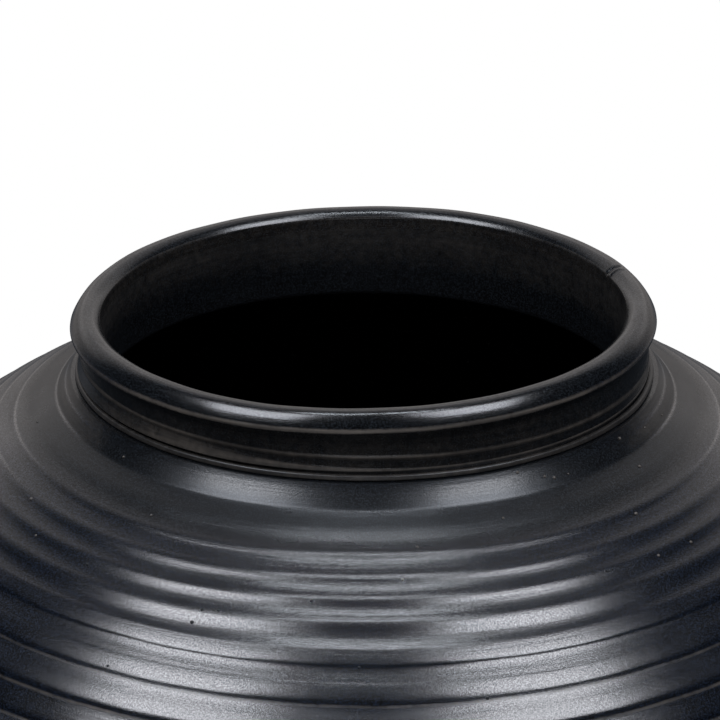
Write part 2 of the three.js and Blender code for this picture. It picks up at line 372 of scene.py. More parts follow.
lower_curve = respaced(bezier(
    [FOOT_OUTER, FOOT_TOP],
    [FOOT_OUTER + FOOT_PULL * np.cos(WALL_LEAN), FOOT_TOP + FOOT_PULL * np.sin(WALL_LEAN)],
    [BELLY_RADIUS, SEAM_HEIGHT - BELLY_PULL_DOWN],
    [BELLY_RADIUS, SEAM_HEIGHT],
    count=400,
), 220)
lower_run = run_along(lower_curve)
lower_down = lower_run[-1] - lower_run
lower_places = FIRST_LOWER_RING + RING_PITCH * np.arange(LOWER_RINGS)
lower_rings = rings(lower_down, ring_bends(lower_places), lower_places - RING_PITCH / 2.0)
lower_rings = lower_rings * ramp(lower_run, 0.0, TRIMMED_RUN)
lower_outside = lower_curve - square_to(lower_curve) * lower_rings[:, None]
lower_inside = (lower_curve + square_to(lower_curve) * WALL)[::-4]
lower_inside = lower_inside[lower_inside[:, 1] > FLOOR_TOP + FLOOR_TURN]
lower_section = np.vstack([
    np.linspace([AXIS_GAP, FOOT_TOP], [FOOT_OUTER, FOOT_TOP], 24)[:-1],
    lower_outside,
    np.linspace(lower_outside[-1], [BELLY_RADIUS - WALL, SEAM_HEIGHT + SEAM_BEVEL], 6)[1:],
    lower_inside,
    bezier(lower_inside[-1], [FLOOR_SWEEP, FLOOR_TOP], [AXIS_GAP, FLOOR_TOP], count=30)[1:],
])
radius, height = straight(lower_section, LOWER_TURNS)
lower_bowl = turned(
    "thrown_lower_bowl", radius, height, poles=True,
    wall_run=run_along(lower_section)[:, None],
    thin_edge=LOWER_EDGE_THIN * edges_of(lower_section)[:, None],
    dull=LOWER_DULL, skin=LOWER_SKIN,
)
lower_bowl.data.materials.append(glaze)
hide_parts("lower_bowl")
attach(lower_bowl, "root")

# Belly seam coil: a soft roll of clay pressed over the inside of the seam where the two bowls
# meet. Thumb presses leave it slightly lumpy, and the glaze inside covers it.
COIL_HALF_HEIGHT = 8.0
COIL_CREST = 7.0
COIL_BEDDED = 0.6
COIL_SLANT = 0.4
COIL_TURNS = 240
PRESSES = 46
PRESS_DEPTH = 0.5
PRESS_START = 0.8
INSIDE_DULL = 0.25
INSIDE_SKIN = 0.2
coil_back = BELLY_RADIUS - WALL + COIL_BEDDED
coil_low = [coil_back - COIL_SLANT, SEAM_HEIGHT - COIL_HALF_HEIGHT]
coil_high = [coil_back - COIL_SLANT, SEAM_HEIGHT + COIL_HALF_HEIGHT]
coil_section = np.vstack([
    np.linspace(coil_low, [coil_back, SEAM_HEIGHT], 8),
    np.linspace([coil_back, SEAM_HEIGHT], coil_high, 8)[1:],
    bezier(coil_high, [coil_back - COIL_CREST, SEAM_HEIGHT], coil_low, count=24)[1:-1],
])
radius, height = straight(coil_section, COIL_TURNS)
coil_turn = even_turns(COIL_TURNS)
inward = np.clip((coil_back - PRESS_START - radius) / COIL_CREST, 0.0, 1.0)
lumps = 1.0 + np.sin(PRESSES * coil_turn + 2.0 * np.sin(3.0 * coil_turn))
radius = radius + inward * PRESS_DEPTH * lumps
belly_coil = turned(
    "belly_seam_coil_pressed", radius, height,
    wall_run=run_along(coil_section)[:, None], thin_edge=0.0, dull=INSIDE_DULL, skin=INSIDE_SKIN,
)
belly_coil.data.materials.append(glaze)
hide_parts("belly_seam_coil")
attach(belly_coil, "root")

# Shoulder bowl: the upper half of the body, thrown upside down as a second bowl and luted on. A smooth
# cove runs up to the neck, and below it each finger ring is a flat band with a short steep drop. The glaze
# is dullest in the cove, thin on the sharp lower rings, and glassy in fine lines along crests at the sides.
SEAT_RADIUS = 63.1
SEAT_HEIGHT = 234.5
MOUTH_RADIUS = 59.1
SHOULDER_SLOPE = np.radians(28.8)
COVE_RUN = 13.2
COVE_DROP = 9.6
COVE_PULL = 7.5
SHOULDER_PULL = 48.0
BELLY_PULL_UP = 38.0
SHOULDER_TURNS = 264
COVE_ROW_END = 14.0
COVE_ROW_STEP = 0.28
RING_ROW_END = 64.0
RING_ROW_STEP = 0.24
LOW_ROWS = 56
COVE_BENDS = [
    (0.0, 11.0), (0.4, 8.5), (0.8, 7.0), (1.4, 5.5), (2.0, 5.0), (3.0, 4.0), (4.0, 3.0), (4.9, 2.5),
    (5.1, -6.0), (5.3, -13.0), (5.8, -15.0), (7.0, -16.2), (8.0, -16.3), (9.0, -15.3),
    (10.0, -12.0), (11.0, -9.0), (11.6, -8.6), (12.4, -9.6), (13.2, -11.0), (14.2, -12.0),
]
UPPER_BENDS = [
    (15.3, -1.0), (16.0, 5.5), (16.5, 7.4), (17.2, 3.2), (18.0, 1.2), (19.4, -0.4),
    (20.4, 0.0), (21.2, 5.0), (21.9, 9.4), (22.6, 8.0), (23.4, 4.9), (24.3, 1.8), (25.0, 0.0),
    (25.6, 0.5), (26.2, 4.0), (27.0, 11.0), (27.7, 9.5), (28.6, 5.8), (29.5, 2.6), (30.4, 0.4),
    (30.9, 1.0), (31.6, 5.0), (32.4, 10.5), (33.3, 12.5), (34.1, 9.0), (35.0, 5.0), (36.0, 2.0), (36.7, 0.0),
]
SHARP_BENDS = [
    (37.3, 0.3), (37.8, 5.0), (39.0, 4.7), (40.4, 7.2), (40.8, 15.0), (41.1, 28.0), (41.4, 14.0), (42.0, 7.0),
    (42.8, 3.0), (43.8, 2.0), (45.0, 4.6), (46.2, 7.4), (47.3, 9.0), (47.9, 12.0), (48.4, 18.0), (48.9, 25.0),
    (49.3, 18.0), (49.8, 11.0), (50.6, 6.0), (51.6, 3.5), (52.6, 3.5), (53.6, 5.0), (54.4, 8.0), (55.0, 12.0),
    (55.6, 19.0), (56.1, 26.0), (56.5, 20.0), (57.0, 16.0), (57.8, 14.0), (59.3, 13.0), (60.5, 13.0),
    (61.2, 14.0), (61.8, 18.0), (62.3, 26.0), (62.8, 17.0), (63.3, 2.0), (64.0, -5.0), (65.5, -6.0),
]
BAND_MIDDLES = [0.0, 14.5, 19.5, 25.0, 30.3, 36.6, 44.5, 52.0]
FIRST_LOW_RING = 70.0
LOW_RINGS = 9
LOW_STRAY = 0.5
STRAY_CHANGE = (33.0, 5.0)
STRAY_START = 12.0
SEAM_FADE = 4.0
FLANK_DEPTH = 0.4
FLANK_SINE = 0.72
FLANK_SPREAD = 0.2
FLANK_START = (14.0, 4.0)
SEAT_FADE = [2.0, 4.6]
COVE_FADE = [11.0, 18.0]
COVE_DULL = 0.29
RING_DULL = 0.23
COVE_SKIN = 0.15
RING_SKIN = 0.6
SEAT_SKIN = 0.34
UPPER_COVE_SKIN = 0.06
RING_LIPS = [41.75, 49.5, 56.75, 62.9]
LOW_RING_LIP = 0.5
RING_THIN = 0.75
RING_THIN_WIDTH = 0.35
RING_THIN_START = (36.0, 20.0)
CREST_LINES = [2.0, 5.1, 15.3, 20.7, 25.9, 31.2, 37.6]
CREST_WIDTH = 0.3
CREST_SKIN = 1.3
CREST_SIDES = (0.86, 0.1)
# Painted light: the top of the cove is painted paler on the flanks.
COVE_PAINTED_LIGHT = 0.35
COVE_PAINTED_LIGHT_END = 5.0
COVE_PAINTED_LIGHT_SIDES = (0.75, 0.15)


def bump(off, width):
    """Bell of height 1 about zero: exp(-(off / width)^2)."""
    return np.exp(-(off / width) ** 2)


def ring_stray(down, turn):
    """How far the rings lie below their mean place, in millimetres, at the turn a from the front. The upper
    ones follow 0.72 sin^3 a + 0.22 (1 - cos 6a) + 0.15. The lower ones follow LOW_STRAY sin a and smaller
    waves of 2, 3, 17 and 41 to the turn, the third of which drifts with the distance down."""
    low = LOW_STRAY * np.sin(turn) + 0.12 * np.sin(2.0 * turn + 0.7)
    low = low + 0.1 * np.sin(3.0 * turn + 0.05 * down)
    low = low + 0.05 * np.sin(17.0 * turn + 1.0) + 0.04 * np.sin(41.0 * turn)
    high = 0.72 * np.sin(turn) ** 3 + 0.22 * (1.0 - np.cos(6.0 * turn)) + 0.15
    return (high + (low - high) * ramp(down, *STRAY_CHANGE)) * ramp(down, 0.0, STRAY_START)


low_places = FIRST_LOW_RING + RING_PITCH * np.arange(LOW_RINGS)
shoulder_bends = COVE_BENDS + UPPER_BENDS + SHARP_BENDS + ring_bends(low_places)
band_middles = BAND_MIDDLES + (low_places + RING_PITCH / 2.0).tolist()
cove_end = np.array([SEAT_RADIUS + COVE_RUN, SEAT_HEIGHT - COVE_DROP])
up_slope = np.array([-np.cos(SHOULDER_SLOPE), np.sin(SHOULDER_SLOPE)])
shoulder_curve = np.vstack([
    bezier([SEAT_RADIUS, SEAT_HEIGHT], cove_end + COVE_PULL * up_slope, cove_end, count=400),
    bezier(
        cove_end,
        cove_end - SHOULDER_PULL * up_slope,
        [BELLY_RADIUS, SEAM_HEIGHT + BELLY_PULL_UP],
        [BELLY_RADIUS, SEAM_HEIGHT],
        count=800,
    )[1:],
])
curve_run = run_along(shoulder_curve)
shoulder_down = np.concatenate([
    np.arange(0.0, COVE_ROW_END, COVE_ROW_STEP),
    np.arange(COVE_ROW_END, RING_ROW_END, RING_ROW_STEP),
    np.linspace(RING_ROW_END, curve_run[-1], LOW_ROWS),
])
plain = np.column_stack([np.interp(shoulder_down, curve_run, shoulder_curve[:, k]) for k in (0, 1)])
outward = square_to(plain)
shoulder_turn = even_turns(SHOULDER_TURNS)
at_sides = np.abs(np.sin(shoulder_turn))
stray = ring_stray(shoulder_down[:, None], shoulder_turn)
relief = rings(np.maximum(shoulder_down[:, None] - stray, 0.0), shoulder_bends, band_middles)
relief = relief * np.clip((curve_run[-1] - shoulder_down) / SEAM_FADE, 0.0, 1.0)[:, None]
# The rings are deeper on both flanks, set so that their creases show as sharply as in front.
flank = bump(at_sides - FLANK_SINE, FLANK_SPREAD) * ramp(shoulder_down, *FLANK_START)[:, None]
relief = relief * (1.0 + FLANK_DEPTH * flank)
outer_radius = plain[:, :1] + outward[:, :1] * relief
outer_height = plain[:, 1:] + outward[:, 1:] * relief
shoulder_inside = (plain - outward * WALL)[::10]
shoulder_inside[:, 0] = np.maximum(shoulder_inside[:, 0], MOUTH_RADIUS)
shoulder_inside[-1] = [BELLY_RADIUS - WALL, SEAM_HEIGHT + SEAM_BEVEL]
seat = np.linspace([SEAT_RADIUS, SEAT_HEIGHT], [MOUTH_RADIUS, SEAT_HEIGHT], 6)[1:]
inner_radius, inner_height = straight(np.vstack([seat, shoulder_inside]), SHOULDER_TURNS)
radius = np.vstack([outer_radius[::-1], inner_radius])
height = np.vstack([outer_height[::-1], inner_height])
shoulder_run = run_along(np.column_stack([radius[:, 0], height[:, 0]]))
crest_off = shoulder_down[:, None, None] - stray[:, :, None] - np.array(CREST_LINES)
glint = np.minimum(bump(crest_off, CREST_WIDTH).sum(axis=2) * ramp(at_sides, *CREST_SIDES), 1.0)
outer_dull = np.interp(shoulder_down, COVE_FADE, [COVE_DULL, RING_DULL])
outer_skin = np.interp(
    shoulder_down, SEAT_FADE + COVE_FADE, [SEAT_SKIN, UPPER_COVE_SKIN, COVE_SKIN, RING_SKIN],
)[:, None]
outer_skin = outer_skin + (CREST_SKIN - outer_skin) * glint
ring_lips = np.array(RING_LIPS + (low_places + LOW_RING_LIP).tolist())
lip_off = shoulder_down[:, None, None] - stray[:, :, None] - ring_lips
outer_thin_and_painted_light = RING_THIN * bump(lip_off, RING_THIN_WIDTH).sum(axis=2)
outer_thin_and_painted_light = outer_thin_and_painted_light * ramp(shoulder_down, *RING_THIN_START)[:, None]
# Painted light: the top of the cove is painted paler on the flanks only, away from the crest glints, where
# those sides show brighter.
cove_painted_light = np.where(shoulder_down < COVE_PAINTED_LIGHT_END, COVE_PAINTED_LIGHT, 0.0)[:, None]
cove_painted_light = cove_painted_light * ramp(at_sides, *COVE_PAINTED_LIGHT_SIDES) * (1.0 - glint)
outer_thin_and_painted_light = np.maximum(outer_thin_and_painted_light, cove_painted_light)
shoulder_bowl = turned(
    "thrown_shoulder_bowl", radius, height,
    wall_run=shoulder_run[:, None],
    thin_edge=np.vstack([outer_thin_and_painted_light[::-1], np.zeros_like(inner_radius)]),
    dull=np.concatenate([outer_dull[::-1], np.full(len(inner_radius), INSIDE_DULL)])[:, None],
    skin=np.vstack([outer_skin[::-1], np.full_like(inner_radius, INSIDE_SKIN)]),
)
shoulder_bowl.data.materials.append(glaze)
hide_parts("shoulder_bowl")
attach(shoulder_bowl, "root")

# Neck seam coil: a thin bead of clay pressed into the corner where the collar stands on the
# shoulder. Glaze fills the creases on both sides of it and leaves its crest a little thin.
BEAD_HALF = (0.5, 0.52)
BEAD_CENTRE = (61.5, 235.15)
BEAD_SQUARENESS = 0.6
BEAD_LEAN = 0.25
BEAD_THIN = 0.45
BEAD_DULL = 0.3
NECK_TURNS = 288
bead_angle = even_turns(28)
bead_round = np.column_stack([np.cos(bead_angle), np.sin(bead_angle)])
bead_round = np.sign(bead_round) * np.abs(bead_round) ** BEAD_SQUARENESS
radius, height = straight(np.array(BEAD_CENTRE) + BEAD_HALF * bead_round, NECK_TURNS)
neck_turn = even_turns(NECK_TURNS)
bead_wander = 0.06 * np.sin(7.0 * neck_turn) + 0.04 * np.sin(17.0 * neck_turn + 1.0)
radius = radius - BEAD_LEAN * (height - BEAD_CENTRE[1]) + bead_wander
neck_bead = turned(
    "neck_seam_bead", radius, height,
    wall_run=(BEAD_HALF[0] * bead_angle)[:, None], thin_edge=BEAD_THIN, dull=BEAD_DULL, skin=0.0,
)
neck_bead.data.materials.append(glaze)
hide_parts("neck_seam_coil")
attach(neck_bead, "root")

# Neck collar: a short thrown ring set in the shoulder's mouth. Its foot flares to a sharp edge that was
# cut by hand, broad on the left and narrow on the right, and one fine ridge runs round it above.
NECK_RADIUS = 60.9
NECK_BORE = 56.0
COLLAR_TOP = 245.15
COLLAR_FOOT = 234.4
SPIGOT_RADIUS = 59.1
SPIGOT_FOOT = 229.6
SPIGOT_ROUND = 1.0
RIDGE_HEIGHT = 239.2
RIDGE_OUT = 0.13
RIDGE_WIDTH = 0.42
RIDGE_ROWS = 1.2
FLARE_EDGE = 236.4
FLARE_LEAN = 0.36
FLARE_BROAD = 2.1
FLARE_NARROW = 0.35
FLARE_CHANGE = (0.15, 0.12, 0.28)
CREASE = 235.85
LIP_LEAN = 0.75
LIP_DIP = 0.615
LIP_SHIFT = 0.29
RIDGE_LEAN = -0.5
RIDGE_THIN = 0.85
RIDGE_THIN_WIDTH = 0.62
FACET_THIN = 0.8
FACET_DROP = 0.1
FACET_WIDTH = 0.15
FACET_LEAST = 0.35
FACET_FADE = 0.9
RUBBED_THIN = 0.55
RUBBED_TURN = -0.56
RUBBED_NARROW = 8.0
# Painted light on the collar's face: a paler tone, more under the lip, less on the flanks.
NECK_PAINTED_LIGHT = 0.3
NECK_PAINTED_LIGHT_UNDER_LIP = 0.12
NECK_PAINTED_LIGHT_FADE = 0.6
# Painted light in the bore: paler towards its top.
BORE_PAINTED_LIGHT = 0.32
BORE_PAINTED_LIGHT_RUN = 12.0
COLLAR_DULL = 0.2
COLLAR_SKIN = 0.25
BORE_DULL = 0.4
BORE_SKIN = 0.05


def lean(radius, height, turn):
    """Radius and height after the sway of hand work: lip, ridge and foot each lie a little out of level, by
    an amount that changes evenly with height, times the sine of the turn from the front. The lip also dips
    towards the front, by the cosine, and its centre sits a little to the left, by the sine again."""
    stations = [FLARE_EDGE, RIDGE_HEIGHT, COLLAR_TOP]
    sway = np.interp(height, stations, [0.0, RIDGE_LEAN, LIP_LEAN])
    dip = np.interp(height, stations, [0.0, 0.0, LIP_DIP])
    shift = np.interp(height, stations, [0.0, 0.0, LIP_SHIFT])
    return radius - shift * np.sin(turn), height + sway * np.sin(turn) - dip * np.cos(turn)


collar_rise = np.concatenate([
    np.linspace(COLLAR_FOOT, CREASE, 8),
    np.linspace(CREASE, FLARE_EDGE, 8)[1:],
    np.linspace(FLARE_EDGE, RIDGE_HEIGHT - RIDGE_ROWS, 30)[1:],
    np.linspace(RIDGE_HEIGHT - RIDGE_ROWS, RIDGE_HEIGHT + RIDGE_ROWS, 34)[1:],
    np.linspace(RIDGE_HEIGHT + RIDGE_ROWS, COLLAR_TOP, 26)[1:],
])[:, None]
change_turn, change_off, change_blend = FLARE_CHANGE
broad = 0.5 - 0.5 * np.tanh((np.sin(neck_turn + change_turn) + change_off) / change_blend)
flare_height = FLARE_NARROW + (FLARE_BROAD - FLARE_NARROW) * broad
above_edge = np.clip(1.0 - (collar_rise - FLARE_EDGE) / flare_height, 0.0, 1.0)
under_edge = ramp(collar_rise, CREASE, FLARE_EDGE - CREASE)
flare = np.where(collar_rise < FLARE_EDGE, under_edge, above_edge)
ridge = bump(collar_rise - RIDGE_HEIGHT, RIDGE_WIDTH)
outer_radius = NECK_RADIUS + FLARE_LEAN * flare_height * flare + RIDGE_OUT * ridge
outer_height = np.repeat(collar_rise, NECK_TURNS, axis=1)
facet = bump(np.clip(FLARE_EDGE - FACET_DROP - collar_rise, 0.0, None), FACET_WIDTH)
facet = facet * ramp(above_edge, 0.0, FACET_LEAST) * FACET_THIN
facet = facet * (1.0 - FACET_FADE * broad * np.sin(neck_turn) ** 4)
# Painted light: the collar's face is painted paler in the grey-brown, more towards the lip whose overhang
# shades it, and less on the flanks.
neck_painted_light = NECK_PAINTED_LIGHT + NECK_PAINTED_LIGHT_UNDER_LIP * ramp(collar_rise, RIDGE_HEIGHT, COLLAR_TOP - RIDGE_HEIGHT)
neck_painted_light = neck_painted_light * (1.0 - NECK_PAINTED_LIGHT_FADE * np.sin(neck_turn) ** 2)
rubbed_side = np.exp(RUBBED_NARROW * (np.cos(neck_turn - RUBBED_TURN) - 1.0))
between = (collar_rise > FLARE_EDGE) & (collar_rise < RIDGE_HEIGHT)
rubbed_patch = np.where(between, RUBBED_THIN * broad * rubbed_side, 0.0)
collar_thin_and_painted_light = np.maximum(np.maximum(facet, neck_painted_light), rubbed_patch)
collar_thin_and_painted_light = np.maximum(collar_thin_and_painted_light, RIDGE_THIN * bump(collar_rise - RIDGE_HEIGHT, RIDGE_THIN_WIDTH))
bore_foot = [NECK_BORE, SPIGOT_FOOT + SPIGOT_ROUND]
spigot_inner = [NECK_BORE + SPIGOT_ROUND, SPIGOT_FOOT]
collar_inside = np.vstack([
    np.linspace([NECK_RADIUS, COLLAR_TOP], [NECK_BORE, COLLAR_TOP], 5)[1:],
    np.linspace([NECK_BORE, COLLAR_TOP], bore_foot, 40)[1:],
    bezier(bore_foot, [NECK_BORE, SPIGOT_FOOT], spigot_inner, count=6)[1:],
    np.linspace(spigot_inner, [SPIGOT_RADIUS, SPIGOT_FOOT], 4)[1:],
    np.linspace([SPIGOT_RADIUS, SPIGOT_FOOT], [SPIGOT_RADIUS, COLLAR_FOOT], 8)[1:],
    np.linspace([SPIGOT_RADIUS, COLLAR_FOOT], [NECK_RADIUS, COLLAR_FOOT], 4)[1:-1],
])
inner_radius, inner_height = straight(collar_inside, NECK_TURNS)
# Painted light: the bore is painted paler towards its top, where light reaches in at the mouth, fading to
# plain black glaze lower down.
bore_painted_light = BORE_PAINTED_LIGHT * ramp(inner_height, SPIGOT_FOOT + SPIGOT_ROUND, BORE_PAINTED_LIGHT_RUN)
radius, height = lean(
    np.vstack([outer_radius, inner_radius]), np.vstack([outer_height, inner_height]), neck_turn,
)
collar_run = run_along(np.column_stack([radius[:, 0], height[:, 0]]))
collar = turned(
    "thrown_neck_collar", radius, height,
    wall_run=collar_run[:, None],
    thin_edge=np.vstack([collar_thin_and_painted_light, bore_painted_light]),
    dull=np.vstack([np.full_like(outer_radius, COLLAR_DULL), np.full_like(inner_radius, BORE_DULL)]),
    skin=np.vstack([np.full_like(outer_radius, COLLAR_SKIN), np.full_like(inner_radius, BORE_SKIN)]),
)
collar.data.materials.append(glaze)
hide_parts("neck_collar")
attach(collar, "root")

# Rolled lip: the top of the neck, folded out and rolled between finger and thumb. A flat crest falls away on
# both sides, the outer face leans out to a sharp overhanging edge where the glaze has drawn thin, and one
# small fold was pressed across the inner half on the right, towards the back.
LIP_CREST = (59.0, 249.355)
LIP_FLAT = 0.35
LIP_TURNS = 320
FACE_ANGLES = [0.0, 32.8, 55.0, 64.0]
FACE_LENGTHS = [1.03, 1.9, 1.65]
EDGE_ANGLES = [64.0, 84.0, 140.0]
EDGE_LENGTHS = [0.5, 0.5]
EDGE_MIDDLE = 3
INNER_ANGLES = [0.0, 34.5, 52.0, 88.0]
INNER_LENGTHS = [1.5, 1.3, 0.6]
FOLD_TURN = np.radians(108.8)
FOLD_WIDTH = np.radians(0.55)
FOLD_DEPTH = 0.35
FOLD_BESIDE = np.radians(1.5)
FOLD_RAISED = 0.6
FOLD_OUTSIDE = 1.0
FOLD_BLEND = 1.5
FOLD_FALL = 2.6
FOLD_FALL_BLEND = 1.0
FOLD_ROWS = 0.1
LIP_WAVE = 0.06
LIP_WAVE_FROM = 245.5
LIP_THIN_WIDTH = 0.48
LIP_THIN_CORE = 1.5
LIP_THIN_MOST = 1.2
LIP_THIN_FADE = 0.8
LIP_SKIN = 0.3
LIP_SIDE_SKIN = 0.7
LIP_BORE_BAND = 0.6
LIP_BORE_DROP = 1.2
LIP_INNER_START = 0.8
LIP_INNER_DULL = 0.21
LIP_OUTER_DULL = 0.17


def swept(start, angles, lengths, steps):
    """Section that starts flat at a point and turns down: it goes each length while its slope below
    level grows from one angle to the next, in degrees."""
    slope = np.concatenate([np.linspace(a, b, steps) for a, b in zip(angles, angles[1:])])
    step = np.repeat(np.array(lengths) / steps, steps)
    across = np.cumsum(step * np.cos(np.radians(slope)))
    down = np.cumsum(step * np.sin(np.radians(slope)))
    return np.array(start) + np.column_stack([across, -down])


crest = np.array(LIP_CREST)
lip_face = swept(crest + [LIP_FLAT, 0.0], FACE_ANGLES, FACE_LENGTHS, 14)
lip_edge = swept(lip_face[-1], EDGE_ANGLES, EDGE_LENGTHS, 8)
lip_under = np.linspace(lip_edge[-1], [NECK_RADIUS, COLLAR_TOP], 6)[1:]
lip_inner = swept([0.0, 0.0], INNER_ANGLES, INNER_LENGTHS, 12)
lip_inner = crest + [-LIP_FLAT, 0.0] + lip_inner * [-1.0, 1.0]
lip_bore = np.linspace(lip_inner[-1], [NECK_BORE, COLLAR_TOP], 8)[1:]
lip_section = np.vstack([
    np.linspace([NECK_BORE, COLLAR_TOP], [NECK_RADIUS, COLLAR_TOP], 5)[:-1],
    lip_under[::-1],
    lip_edge[::-1],
    lip_face[::-1],
    np.linspace(crest + [LIP_FLAT, 0.0], crest - [LIP_FLAT, 0.0], 5),
    lip_inner,
    lip_bore[:-1],
])
fold_turns = np.linspace(FOLD_TURN - FOLD_ROWS, FOLD_TURN + FOLD_ROWS, 61)
lip_turn = np.unique(np.concatenate([even_turns(LIP_TURNS), fold_turns]))
radius, height = straight(lip_section, lip_turn.size)
lip_run = run_along(lip_section)
edge_run = lip_run[np.argmin(np.hypot(*(lip_section - lip_edge[EDGE_MIDDLE]).T))]
edge_thin = LIP_THIN_CORE - np.abs(lip_run - edge_run) / LIP_THIN_WIDTH
edge_thin = np.clip(edge_thin, 0.0, LIP_THIN_MOST)[:, None]
lip_ends = np.sin(lip_turn) ** 4
lip_skin = LIP_SKIN + LIP_SIDE_SKIN * np.clip(edge_thin, 0.0, 1.0) * lip_ends
# Painted light: where the lip turns down into the bore it gets the bore's paler painted tone; the edge keeps
# its thin glaze.
on_bore = lip_section[:, 0] < NECK_BORE + LIP_BORE_BAND
on_bore = on_bore & (lip_section[:, 1] < LIP_CREST[1] - LIP_BORE_DROP)
lip_bore_painted_light = np.where(on_bore, BORE_PAINTED_LIGHT, 0.0)[:, None]
lip_thin_and_painted_light = np.maximum(edge_thin * (1.0 - LIP_THIN_FADE * lip_ends), lip_bore_painted_light)
on_inner = lip_section[:, 0] < LIP_CREST[0] - LIP_INNER_START
lip_dull = np.where(on_inner, LIP_INNER_DULL, LIP_OUTER_DULL)
fold_reach = np.clip((LIP_CREST[0] + FOLD_OUTSIDE - radius) / FOLD_BLEND, 0.0, 1.0)
fold_reach = fold_reach * ramp(height, LIP_CREST[1] - FOLD_FALL, FOLD_FALL_BLEND)
fold = bump(lip_turn - FOLD_TURN, FOLD_WIDTH)
fold = fold - FOLD_RAISED * bump(lip_turn - FOLD_TURN + FOLD_BESIDE, FOLD_WIDTH)
wave = np.sin(5.0 * lip_turn + 0.4) + 0.6 * np.sin(9.0 * lip_turn + 2.0) + 0.4 * np.sin(23.0 * lip_turn)
wave = np.where(height > LIP_WAVE_FROM, LIP_WAVE, 0.0) * wave
radius, height = lean(radius, height - FOLD_DEPTH * fold_reach * fold + wave, lip_turn)
lip = turned(
    "rolled_lip", radius, height, turn=lip_turn,
    wall_run=lip_run[:, None], thin_edge=lip_thin_and_painted_light, dull=lip_dull[:, None], skin=lip_skin,
)
lip.data.materials.append(glaze)
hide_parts("rim_roll")
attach(lip, "root")

# Grit: sand grains from the clay that stand up through the glaze, each under a millimetre. Most have a
# pale crown where the glaze ran off, and those in the brightest part in front are dark and matt. The ones
# in front follow the real vase, as (degrees from the front, mm down the wall); the rest are strewn.
GRIT_SEEN = [
    (-77.5, 10.35), (-29.3, 47.65), (-21.5, 34.8), (-20.8, 31.85), (-18.7, 31.35), (-7.0, 27.2), (7.9, 14.5),
    (22.9, 9.9), (13.1, 49.2), (5.2, 22.2), (-0.7, 41.4), (28.8, 0.8), (-49.0, 3.5),
    (-35.5, 13.4), (-39.7, 28.4), (-57.8, 21.6), (-50.9, 27.5), (49.5, 28.4), (42.9, 28.0), (34.0, 27.4),
    (34.9, 27.4), (45.0, 17.6), (72.4, 4.0), (63.8, 2.9), (54.9, 1.6), (54.1, 8.7), (33.9, 2.9),
    (35.7, 3.7), (38.9, 3.8),
]
GRIT_STREWN = 40
STREWN_FROM = [95.0, 1.0]
STREWN_TO = [265.0, 110.0]
GRIT_SMALL = 0.24
GRIT_LARGE = 0.42
GRIT_FLATNESS = 0.8
PALE_TURN = np.radians(40.0)
PALE_DOWN = 23.0
PALE_MARKS = {"dull": 0.25, "skin": 0.5, "thin_edge": 1.0}
DARK_MARKS = {"dull": 0.5, "skin": 0.0, "thin_edge": 0.0}


def nubs(centre, normal, ahead, slope, size, rows=6, turns=12):
    """Grid points of small domes: at latitude u from -25 to 80 degrees and longitude v, a dome's point is
    its centre plus size times (cos u cos v along, cos u sin v down the wall, 0.8 sin u outwards)."""
    u = np.radians(np.linspace(-25.0, 80.0, rows))[None, :, None, None]
    v = even_turns(turns)[None, None, :, None]
    lie = [part[:, None, None, :] for part in (centre, normal, ahead, slope)]
    flat = np.cos(u) * np.cos(v) * lie[2] + np.cos(u) * np.sin(v) * lie[3]
    return lie[0] + size[:, None, None, None] * (flat + GRIT_FLATNESS * np.sin(u) * lie[1])


strewn = np.random.default_rng(7).uniform(STREWN_FROM, STREWN_TO, (GRIT_STREWN, 2))
grit_places = np.vstack([GRIT_SEEN, strewn])
grit_turn = np.radians(1.0) * grit_places[:, 0]
grit_down = grit_places[:, 1]
grit_size = np.random.default_rng(3).uniform(GRIT_SMALL, GRIT_LARGE, grit_turn.size)
curve_out = square_to(shoulder_curve)
grit_row = np.searchsorted(shoulder_down, grit_down)
grit_column = np.round(grit_turn / (2.0 * np.pi) * SHOULDER_TURNS).astype(int) % SHOULDER_TURNS
grit_rise = relief[grit_row, grit_column]
grit_at = [np.interp(grit_down, curve_run, shoulder_curve[:, k]) for k in (0, 1)]
grit_out = [np.interp(grit_down, curve_run, curve_out[:, k]) for k in (0, 1)]
grit_radius, grit_height = [at + out * grit_rise for at, out in zip(grit_at, grit_out)]
ahead = np.column_stack([np.cos(grit_turn), np.sin(grit_turn), 0.0 * grit_turn])
away = np.column_stack([np.sin(grit_turn), -np.cos(grit_turn), 0.0 * grit_turn])
up = np.array([0.0, 0.0, 1.0])
grit_normal = away * grit_out[0][:, None] + up * grit_out[1][:, None]
grit_slope = np.cross(grit_normal, ahead)
grit_centre = away * grit_radius[:, None] + up * grit_height[:, None]
grit_points = nubs(grit_centre, grit_normal, ahead, grit_slope, grit_size)
count, rows, turns, _ = grit_points.shape
n, i, j = np.meshgrid(np.arange(count), np.arange(rows - 1), np.arange(turns), indexing="ij")
corners = [(n * rows + i + di) * turns + (j + dj) % turns for di, dj in ((0, 0), (0, 1), (1, 1), (1, 0))]
dome_sides = np.stack(corners, axis=3).reshape(-1, 4).tolist()
cap = ((np.arange(count)[:, None] * rows + rows - 1) * turns + np.arange(turns)).tolist()
base = (np.arange(count)[:, None] * rows * turns + np.arange(turns)[::-1]).tolist()
grit_mesh = bpy.data.meshes.new("glaze_grit")
grit_mesh.from_pydata(grit_points.reshape(-1, 3) * MM, [], dome_sides + cap + base)
grit_mesh.shade_smooth()
pale = (np.abs(grit_turn) > PALE_TURN) | (grit_down < PALE_DOWN)
for key in PALE_MARKS:
    mark(grit_mesh, key, np.repeat(np.where(pale, PALE_MARKS[key], DARK_MARKS[key]), rows * turns))
grit_piece = bpy.data.objects.new("glaze_grit", grit_mesh)
bpy.context.scene.collection.objects.link(grit_piece)
